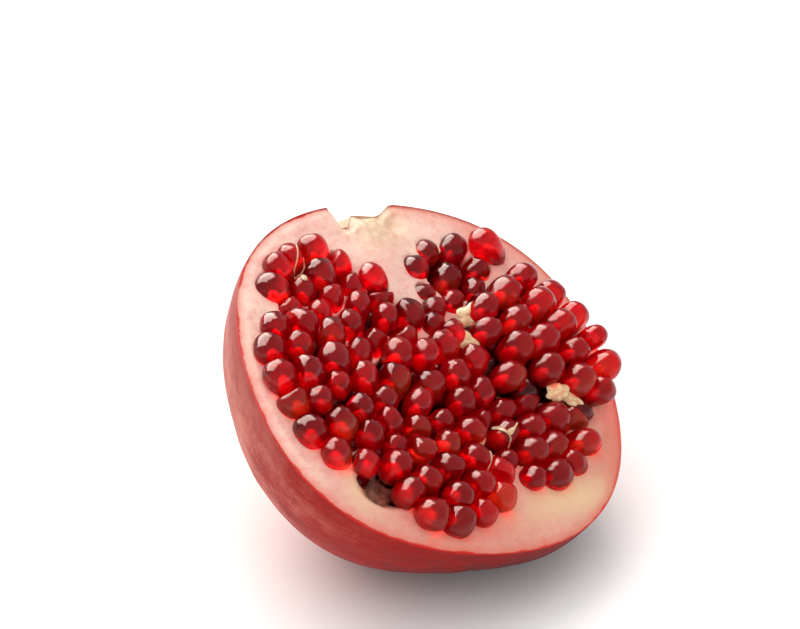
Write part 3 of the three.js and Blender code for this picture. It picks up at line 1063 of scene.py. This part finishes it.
@dataclass
class Rind:
    """The rind: skin outside, pith inside and the hollow that the arils fill."""

    clusters: ArilClusters
    lie: Lie = field(default_factory=Lie)
    face_radius: float = 50.8
    back_depth: float = 44.0
    # How many blunt corners the outline has, their height and their turn.
    shoulders: tuple[int, float, float] = (4, 1.1, 30.0)
    # How far the fuller side swells out, and where it is.
    lopsided: tuple[float, float] = (0.9, 30.0)
    # How many ridges the back has, and their height as a share.
    ridges: tuple[int, float] = (6, 0.012)
    stem_way: tuple[float, float, float] = (-0.15, -0.82, -0.55)
    stem_distance: float = 46.6
    stem_blend: float = 3.0
    crown_way: tuple[float, float, float] = (0.1, 0.995, 0.0)
    crown_distance: float = 50.8
    notch_depth_down: float = 9.0
    # Places across the face, and how far the rim is torn back there.
    notch: tuple[tuple[float, float], ...] = (
        (-0.9, 0), (-0.5, 6.3), (1.8, 6.3), (4.2, 3.2), (10.4, 3.9), (12.4, 3.2), (16, 0.4), (17.5, 0),
    )
    floor_depth: float = 38.5
    floor_share: float = 0.92
    edge_drop: float = 0.8
    edge_width: float = 3.0
    # Place, radius and depth of the brown pocket.
    pocket: tuple[float, float, float, float] = (-28.0, -23.5, 5.6, 4.5)
    # Middle and half widths of the part where the clusters touch.
    core: tuple[float, float, float, float] = (3, -7, 28, 17)
    # Place, width and height of each swelling of the pith.
    bumps: tuple[tuple[float, float, float, float], ...] = (
        (7, 44, 5, 1.4),
        (14.5, 42.2, 2.4, -1.5),
        (3, 33, 9, 1.2),
    )
    border_room: float = 5.5
    aril_room: float = 0.9
    around: int = 300
    notch_steps: int = 70
    back_rows: int = 100
    face_rows: int = 130

    def rim_latitude(self) -> float:
        """How far below the open face the rim lies, in degrees round the back."""
        return math.asin(self.edge_drop / self.back_depth) / RAD

    def angles(self) -> np.ndarray:
        """Angles round the face, finer along the torn notch.

        Returns:
            The angles, rising.
        """
        low = math.acos(self.notch[-1][0] / self.face_radius) - 0.02
        high = math.acos(self.notch[0][0] / self.face_radius) + 0.02
        even = np.arange(self.around) / self.around * 2 * math.pi
        even = even[(even < low - 0.01) | (even > high + 0.01)]
        return np.sort(np.concatenate([even, np.linspace(low, high, self.notch_steps)]))

    def outline(self, angle: np.ndarray) -> np.ndarray:
        """Radius of the unbroken open face.

        Args:
            angle: Angles round the face.

        Returns:
            The radius at each angle.
        """
        count, height, at = self.shoulders
        swell, side = self.lopsided
        return (
            self.face_radius
            + height * np.cos(count * (angle - at * RAD))
            + swell * np.cos(angle - side * RAD)
        )

    @staticmethod
    def behind(points: np.ndarray, way: Sequence[float], distance: float, blend: float) -> np.ndarray:
        """Hold points behind a plane, with a soft edge.

        Args:
            points: The points.
            way: The way that the plane faces.
            distance: The plane's distance from the middle.
            blend: How wide the soft edge is.

        Returns:
            The points, moved.
        """
        normal = np.array(way) / np.linalg.norm(way)
        over = points @ normal - distance
        held = np.maximum(0, over)
        if blend > 0:
            held = np.where(np.abs(over) < blend, (over + blend) ** 2 / (4 * blend), held)
        return points - held[:, None] * normal

    def skin(self, angle: np.ndarray, latitude: np.ndarray) -> tuple[np.ndarray, np.ndarray]:
        """Points of the skin.

        Args:
            angle: Angles round the face.
            latitude: Degrees from the rim, 0, to the middle of the back, 90.

        Returns:
            The points, and how far each was torn back at the notch.
        """
        share = np.cos(latitude * RAD)
        radius = self.outline(angle) * share
        points = np.column_stack(
            [radius * np.cos(angle), radius * np.sin(angle), -self.back_depth * np.sin(latitude * RAD)]
        )
        count, height = self.ridges
        longitude = np.arctan2(points[:, 0], -points[:, 2] + 1e-9)
        ridge = 1 + height * np.cos(count * longitude) * smooth(latitude / 30)
        points[:, 0] *= ridge
        points[:, 2] *= ridge
        points = self.behind(points, self.stem_way, self.stem_distance, self.stem_blend)
        points = self.behind(points, self.crown_way, self.crown_distance, 0.0)
        where, depth = zip(*self.notch)
        cut = np.interp(points[:, 0], where, depth) * (points[:, 1] > 0)
        cut = cut * (1 - smooth(-points[:, 2] / self.notch_depth_down))
        points[:, 1] -= cut
        return points, cut

    @staticmethod
    def pale_side(x: np.ndarray, y: np.ndarray) -> np.ndarray:
        """1 on the side where the rim fades to salmon, 0 where it is red."""
        return smooth((np.cos(np.arctan2(y, x) - 12 * RAD) - 0.25) / 0.5)

    def build_skin(self) -> bpy.types.Object:
        """Make the outer skin.

        Returns:
            The piece.
        """
        angles = self.angles()
        rows = 90 * (np.linspace(0, 1, self.back_rows) ** 1.1)
        rows[0] = self.rim_latitude()
        grid_angle = np.tile(angles, len(rows) - 1)
        grid_row = np.repeat(rows[:-1], len(angles))
        points, cut = self.skin(grid_angle, grid_row)
        last, _ = self.skin(np.array([0.0]), np.array([90.0]))
        points = np.vstack([points, last])
        latitude = np.append(grid_row, 90.0)
        fade = smooth((latitude - 1.5) / 8)
        swell = ripple(points, 17.0) * 0.35 + ripple(points, 5.0, 9.0) * 0.12
        outward = points / np.linalg.norm(points, axis=1)[:, None]
        points = points + outward * (swell * fade)[:, None]
        points = self.behind(points, self.lie.down(), self.lie.rest_depth, 0.8)
        size = len(angles)
        faces = ring_faces(len(rows) - 1, size)
        faces += [f[::-1] for f in cap_faces(len(points) - 1, (len(rows) - 2) * size, size)]
        longitude = np.arctan2(points[:, 0], -points[:, 2] + 1e-9)
        meridian = np.column_stack([longitude, points[:, 1] / self.face_radius, np.zeros(len(points))])
        values = {
            "meridian": meridian,
            "place": points / WIDE_SCALE,
            "torn": smooth(np.append(cut, 0.0) / 0.6) * (1 - smooth((latitude - 8) / 4)),
            "latitude": latitude,
            "pale_side": self.pale_side(points[:, 0], points[:, 1]),
            # Painted sheen: 1 on the side towards the light, -1 opposite it.
            "painted_sheen": np.cos(np.arctan2(points[:, 1], points[:, 0]) - 150 * RAD),
        }
        piece = make_piece("rind_skin", self.lie.place(points), faces, values)
        return dress(piece, SkinFinish().material(), "rind")

    def plateau(self, x: np.ndarray, y: np.ndarray, margin: np.ndarray) -> np.ndarray:
        """Height of the uncut pith.

        Args:
            x: Across the face, in millimetres.
            y: Towards the crown end, in millimetres.
            margin: How far each point lies from the rim.

        Returns:
            The height of each point.
        """
        height = -self.edge_drop * (1 - smooth(margin / self.edge_width))
        for bx, by, reach, rise in self.bumps:
            height += rise * np.exp(-((x - bx) ** 2 + (y - by) ** 2) / reach**2) * smooth(margin / 4)
        return height

    def beside_arils(self, x: np.ndarray, y: np.ndarray) -> np.ndarray:
        """How far each point of the face lies from the nearest aril that stands.

        Args:
            x: Across the face, in millimetres.
            y: Towards the crown end, in millimetres.

        Returns:
            The distances, below 0 under an aril.
        """
        near = np.full(len(x), 1e9)
        for aril in self.clusters.arils:
            if aril.under or (aril.stray and aril.stray.lies()):
                continue
            gap = np.hypot(x - aril.foot[0], y - aril.foot[1]) - self.clusters.field_.half_width * aril.size
            near = np.minimum(near, gap)
        return near

    def beside_hollow(self, x: np.ndarray, y: np.ndarray) -> np.ndarray:
        """How far each point of the face lies from the hollow.

        Args:
            x: Across the face, in millimetres.
            y: Towards the crown end, in millimetres.

        Returns:
            The distances, below 0 inside it.
        """
        number, reach = nearest_chamber(x, y)
        small = np.array([min(c.rx, c.ry) for c in CHAMBERS])[number]
        border = (reach - 1) * small + self.border_room
        cx, cy, cw, ch = self.core
        core = (np.hypot((x - cx) / cw, (y - cy) / ch) - 1) * ch
        return np.minimum(np.minimum(self.beside_arils(x, y) + self.aril_room, border), core)

    @staticmethod
    def tints(x: np.ndarray, y: np.ndarray) -> dict[str, np.ndarray]:
        """Where painted shade darkens the pith, and where it is straw-coloured.

        Args:
            x: Across the face, in millimetres.
            y: Towards the crown end, in millimetres.

        Returns:
            The shares under the names that the finish reads.
        """
        # Painted shade, darker towards the bottom and the right.
        painted_shade = smooth((-y - 6) / 32) * 0.85 + smooth((x - 24) / 22) * 0.5
        straw = 0.8 * np.exp(-((x - 9) ** 2 + (y - 45) ** 2) / 70)
        straw += 0.75 * np.exp(-(((x - 18) / 16) ** 2 + ((y + 40) / 5) ** 2))
        straw += 0.7 * np.exp(-(((x + 35) / 4) ** 2 + ((y + 23) / 6) ** 2))
        return {"painted_shade": np.clip(painted_shade, 0, 1), "straw": np.clip(straw, 0, 1)}

    def build_pith(self) -> bpy.types.Object:
        """Make the pith's open face and the hollow.

        Returns:
            The piece.
        """
        angles = self.angles()
        size = len(angles)
        shares = np.linspace(0, 1, self.face_rows + 1)[1:] ** 0.8
        rim, cut = self.skin(angles, np.full(size, self.rim_latitude()))
        x = np.append(np.outer(shares, rim[:, 0]).ravel(), 0.0)
        y = np.append(np.outer(shares, rim[:, 1]).ravel(), 0.0)
        share = np.append(np.repeat(shares, size), 0.0)
        length = np.tile(np.hypot(rim[:, 0], rim[:, 1]), len(shares))
        margin = np.append((1 - share[:-1]) * length, self.face_radius)
        flat = np.column_stack([x, y, np.zeros(len(x))])
        top = self.plateau(x, y, margin)
        top += (ripple(flat, 9.0) * 0.45 + ripple(flat, 2.6, 5.0) * 0.14) * smooth(margin / 2.5)
        top += ripple(flat, 1.8, 7.0) * 0.9 * np.exp(-(((x - 7) / 9) ** 2 + ((y - 44) / 5) ** 2))
        beside = self.beside_hollow(x, y)
        floor = -self.floor_depth * np.sqrt(np.maximum(0.02, 1 - (share / self.floor_share) ** 2))
        px, py, pr, pd = self.pocket
        pocket = smooth(1.5 - np.hypot(x - px, y - py) / pr)
        hollow = smooth(-beside / 1.2) * (1 - pocket)
        top = top - (pd + ripple(flat, 1.7, 3.0) * 1.2) * pocket
        points = np.column_stack([x, y, top + (np.minimum(floor, top) - top) * hollow])
        faces = ring_faces(len(shares), size)
        faces += cap_faces(len(points) - 1, 0, size)
        # Juice stain beside the arils, and painted shade on the walls of the hollow.
        stain_and_shade = smooth(1 - np.maximum(beside, 0) / 0.8) * 0.15 + smooth(hollow * 6) * 0.85
        values = {
            "place": points / WIDE_SCALE,
            "margin": margin + 5 * np.append(np.tile(smooth(cut / 1.5), len(shares)), 0.0),
            "pale_side": self.pale_side(x, y),
            "stain_and_shade": np.clip(stain_and_shade, 0, 1),
            "pocket": np.clip(pocket * 0.9, 0, 1),
        }
        piece = make_piece("rind_pith", self.lie.place(points), faces, values | self.tints(x, y))
        return dress(piece, PithFinish().material(), "rind")


@dataclass
class Membranes:
    """Papery skins between the chambers, which show where arils stand apart, and threads of them."""

    clusters: ArilClusters
    lie: Lie = field(default_factory=Lie)
    below_tips: float = 4.6
    thickness: float = 0.45
    depth: float = 12.0
    rows: int = 9
    steps: int = 240
    thread_sides: int = 8
    thread_steps: int = 40
    thread_thick: float = 0.16
    drop_from: float = 25.0
    drop_missed: float = 2.0
    # The places on the face that each thread runs through.
    threads: tuple[tuple[tuple[float, float], ...], ...] = (
        ((-21.6, 31.0), (-20.6, 33.4), (-19.6, 37.0), (-18.2, 41.0)),
        ((-20.6, 33.2), (-18.6, 34.6), (-16.4, 36.4), (-15.8, 38.6)),
        ((7.2, -17.8), (8.4, -21.0), (9.4, -24.2)),
        ((8.6, -21.4), (10.6, -20.6), (12.4, -19.4)),
        ((1.6, -20.6), (0.2, -24.4), (-1.2, -27.4), (-2.6, -29.6)),
    )
    # Place, width, height and turn of each torn bit.
    crumbs: tuple[tuple[float, float, float, float, float, float], ...] = (
        (16.9, 11.6, 3.6, 6.4, 4.6, 20.0),
        (11.6, 4.8, 4.4, 5.6, 4.8, -30.0),
        (27.6, -14.8, 4.6, 6.4, 4.8, -20.0),
        (30.9, -16.8, 4.2, 6.0, 3.4, -50.0),
    )

    def borders(self) -> list[tuple[int, int, np.ndarray]]:
        """Borders that two chambers share.

        Returns:
            For each border, the two chambers' numbers and its points on the face.
        """
        reaches = np.linspace(0.5, 40, 240)
        found = []
        for k, chamber in enumerate(CHAMBERS):
            ends, others = [], []
            for angle in np.arange(self.steps) / self.steps * 2 * math.pi:
                x = chamber.x + reaches * math.cos(angle)
                y = chamber.y + reaches * math.sin(angle)
                number, reach = nearest_chamber(x, y)
                first = int(np.argmax((number != k) | (reach > 1)))
                others.append(int(number[first]) if reach[first] < 1 else -1)
                ends.append((x[first], y[first]))
            starts = [i for i in range(self.steps) if others[i] != others[i - 1]]
            for i, start in enumerate(starts):
                stop = starts[(i + 1) % len(starts)]
                count = (stop - start) % self.steps
                if others[start] > k and count > 3:
                    run = [ends[(start + n) % self.steps] for n in range(count)]
                    found.append((k, others[start], np.array(run)))
        return found

    def sheet(self, first: int, second: int, run: np.ndarray) -> Form:
        """One skin: a thin standing ribbon with a wavy edge.

        Args:
            first: One chamber's number.
            second: The other's.
            run: The border's points on the face.

        Returns:
            Its points and faces.
        """
        along = np.gradient(run, axis=0)
        along /= np.linalg.norm(along, axis=1)[:, None] + 1e-9
        across = np.column_stack([-along[:, 1], along[:, 0]])
        tips = [CHAMBERS[n].tip_height(CHAMBERS[n].reach(run[:, 0], run[:, 1])) for n in (first, second)]
        flat = np.column_stack([run, np.zeros(len(run))])
        top = np.minimum(tips[0], tips[1]) - self.below_tips
        top += ripple(flat, 2.2) * 0.9
        levels = np.linspace(0, 1, self.rows)
        profile = np.concatenate([levels, levels[::-1]])
        side = np.concatenate([-np.ones(self.rows), np.ones(self.rows)])
        points = []
        for n in range(len(run)):
            z = -self.depth + (top[n] + self.depth) * profile
            thick = self.thickness * (1 - 0.55 * profile**3) / 2
            base = run[n] + across[n] * (thick * side)[:, None]
            spread = 1 + z / self.clusters.field_.fan_depth
            points.append(np.column_stack([base[:, 0] * spread, base[:, 1] * spread, z]))
        cloud = np.vstack(points)
        cloud += (ripple(cloud, 1.6, 4.0) * 0.25)[:, None] * np.array([0.6, 0.6, 1.0])
        return cloud, ring_faces(len(run), 2 * self.rows)

    def piece(self, name: str, forms: Sequence[Form]) -> bpy.types.Object:
        """Make a piece of the skins' material.

        Args:
            name: The piece's name.
            forms: The forms that it is made of.

        Returns:
            The piece.
        """
        points, faces = fused(forms)
        piece = make_piece(name, self.lie.place(points), faces, {"place": points / NEAR_SCALE})
        return dress(piece, MembraneFinish().material(), "rind")

    def build(self) -> bpy.types.Object:
        """Make the standing skins."""
        return self.piece("membranes", [self.sheet(*border) for border in self.borders()])

    def build_crumbs(self) -> bpy.types.Object:
        """Make the torn bits of pale skin that are left standing between arils.

        Returns:
            The piece.
        """
        ball, skin = unit_ball(5)
        toward = self.lie.axes().T @ np.array([0.0, -0.82, 0.57])
        out = toward + np.array([0.0, 0.0, 1.0])
        out /= np.linalg.norm(out)
        forms = []
        for x, y, z, wide, tall, turn in self.crumbs:
            across = np.cross(out, [math.sin(turn * RAD), -math.cos(turn * RAD), 0.0])
            across /= np.linalg.norm(across)
            basis = np.column_stack([across, np.cross(out, across), out])
            ragged = 1 + 0.45 * ripple(ball * np.array([1, 1, 0.3]), 0.8, x) + 0.1 * ripple(ball, 0.2, y)
            local = ball * ragged[:, None] * np.array([wide / 2, tall / 2, 0.8])
            forms.append((np.array([x, y, z]) + local @ basis.T, skin))
        return self.piece("pith_crumbs", forms)

    def resting(self, line: np.ndarray, tree: BVHTree) -> np.ndarray:
        """Heights at which a thread along a line of the face lies on the arils.

        Args:
            line: Points of the line on the face.
            tree: The arils, in metres in the world.

        Returns:
            The height of each point, in millimetres out of the face.
        """
        down = Vector((-self.lie.axes()[:, 2]).tolist())
        heights = []
        for x, y in line:
            start = self.lie.place(np.array([[x, y, self.drop_from]]))[0]
            _, _, _, fall = tree.ray_cast(Vector(start.tolist()), down)
            heights.append(self.drop_missed if fall is None else self.drop_from - fall / MM)
        return np.convolve(np.pad(np.array(heights), 3, mode="edge"), np.ones(7) / 7, mode="valid") + 0.25

    def thread(self, stops: np.ndarray, tree: BVHTree) -> Form:
        """One thread: a flat tube along its stops, widest near its root.

        Args:
            stops: Points on the face that it runs through.
            tree: The arils that it lies on.

        Returns:
            The thread's points and faces.
        """
        sides, steps = self.thread_sides, self.thread_steps
        t = np.linspace(0, len(stops) - 1, steps)
        line = np.column_stack([np.interp(t, np.arange(len(stops)), stops[:, i]) for i in (0, 1)])
        centre = np.column_stack([line, self.resting(line, tree)])
        along = np.gradient(centre, axis=0)
        along /= np.linalg.norm(along, axis=1)[:, None]
        wide = 0.2 + 0.55 * np.exp(-((t - 0.3) ** 2) * 3)
        angle = np.arange(sides) / sides * 2 * math.pi
        rings = []
        for n, way in enumerate(along):
            across = np.cross(way, [0, 0, 1])
            across /= np.linalg.norm(across)
            up = np.cross(across, way)
            flat = np.outer(np.cos(angle), across) * wide[n]
            rings.append(centre[n] + (flat + np.outer(np.sin(angle), up) * self.thread_thick))
        ends = [tuple(range(sides))[::-1], tuple(range((steps - 1) * sides, steps * sides))]
        return np.vstack(rings), ring_faces(steps, sides) + ends

    def build_threads(self, kernels: Sequence[bpy.types.Object]) -> bpy.types.Object:
        """Lay the torn threads on the arils.

        Args:
            kernels: The arils' pieces.

        Returns:
            The threads.
        """
        points, faces = [], []
        for piece in kernels:
            first = len(points)
            points += [v.co.copy() for v in piece.data.vertices]
            faces += [[first + i for i in f.vertices] for f in piece.data.polygons]
        tree = BVHTree.FromPolygons(points, faces)
        return self.piece("membrane_threads", [self.thread(np.array(stops), tree) for stops in self.threads])


@dataclass
class Studio:
    """The pale table, the soft light and the camera."""

    lie: Lie = field(default_factory=Lie)
    elevation: float = 35.0
    lens: float = 260.0
    sensor: float = 36.0
    pixels_per_mm: float = 4.2
    picture: tuple[float, float] = (800, 629)
    face_at: tuple[float, float] = (430.5, 377)
    table_size: float = 6.0
    table_gap: float = 0.0002
    sky_strength: float = 0.55

    def view_axes(self) -> tuple[Vector, Vector, Vector]:
        """Right, up and back, as the camera sees them."""
        rise, reach = math.sin(self.elevation * RAD), math.cos(self.elevation * RAD)
        return Vector((1, 0, 0)), Vector((0, rise, reach)), Vector((0, -reach, rise))

    def place_camera(self) -> bpy.types.Object:
        """Set the camera so that the open face lies in the picture where it should.

        Returns:
            The camera.
        """
        right, up, back = self.view_axes()
        middle = Vector(self.lie.place(np.zeros((1, 3)))[0])
        off_x = (self.face_at[0] - self.picture[0] / 2) / self.pixels_per_mm * MM
        off_y = (self.face_at[1] - self.picture[1] / 2) / self.pixels_per_mm * MM
        target = middle - right * off_x + up * off_y
        width = self.picture[0] / self.pixels_per_mm * MM
        distance = self.lens / self.sensor * width
        data = bpy.data.cameras.new("camera")
        data.lens = self.lens
        data.sensor_width = self.sensor
        data.clip_start = 0.01
        camera = bpy.data.objects.new("camera", data)
        turn = Matrix((right, up, back)).transposed().to_4x4()
        camera.matrix_world = Matrix.Translation(target + back * distance) @ turn
        bpy.context.scene.collection.objects.link(camera)
        bpy.context.scene.camera = camera
        return camera

    def add_light(
        self, name: str, way: Sequence[float], distance: float, size: tuple[float, float], watts: float
    ) -> bpy.types.Object:
        """Add a soft panel of light that faces the fruit.

        Args:
            name: The light's name.
            way: From the fruit to the light.
            distance: How far away it is.
            size: Its width and height.
            watts: Its power.

        Returns:
            The light.
        """
        data = bpy.data.lights.new(name, "AREA")
        data.shape = "RECTANGLE"
        data.size, data.size_y = size
        data.energy = watts
        light = bpy.data.objects.new(name, data)
        direction = Vector(way).normalized()
        light.location = direction * distance + Vector((0, 0, 0.03))
        light.rotation_euler = direction.to_track_quat("Z", "Y").to_euler()
        bpy.context.scene.collection.objects.link(light)
        return light

    def build(self) -> None:
        """Make the table and the light."""
        half = self.table_size / 2
        corners = np.array([(-half, -half, 0), (half, -half, 0), (half, half, 0), (-half, half, 0)], float)
        corners[:, 2] = -self.table_gap
        table = make_piece("table", corners, [(0, 1, 2, 3)])
        sheet = NodeSheet("pale_table")
        table.data.materials.append(sheet.finish({"Base Color": (0.93, 0.93, 0.93, 1), "Roughness": 0.6}))
        key = self.add_light("key", (-0.2, 0.05, 0.97), 1.5, (3.0, 3.0), 30.0)
        key.visible_glossy = False
        fill = self.add_light("fill", (0.6, -0.75, 0.3), 1.6, (2.4, 1.6), 7.0)
        fill.visible_glossy = False
        sheen = self.add_light("sheen", (-0.504, 0.466, 0.729), 0.8, (1.2, 1.05), 62.0)
        sheen.visible_diffuse = False
        sheen.data.color = (1.0, 0.76, 0.68)
        world = bpy.data.worlds.new("pale_room")
        world.use_nodes = True
        sky = world.node_tree.nodes["Background"]
        sky.inputs["Color"].default_value = (1.0, 1.0, 1.0, 1)
        sky.inputs["Strength"].default_value = self.sky_strength
        bpy.context.scene.world = world
        bpy.context.scene.view_settings.view_transform = "Standard"


def main() -> None:
    """Build the fruit and its stage in order."""
    logging.basicConfig(level=logging.INFO, format="%(name)s: %(message)s")
    studio = Studio()
    studio.place_camera()
    clusters = ArilClusters()
    clusters.grow()
    rind = Rind(clusters)
    rind.build_skin()
    rind.build_pith()
    kernels = clusters.build()
    clusters.build_seeds()
    membranes = Membranes(clusters)
    membranes.build()
    membranes.build_crumbs()
    membranes.build_threads(kernels)
    studio.build()


if __name__ == "__main__":
    main()
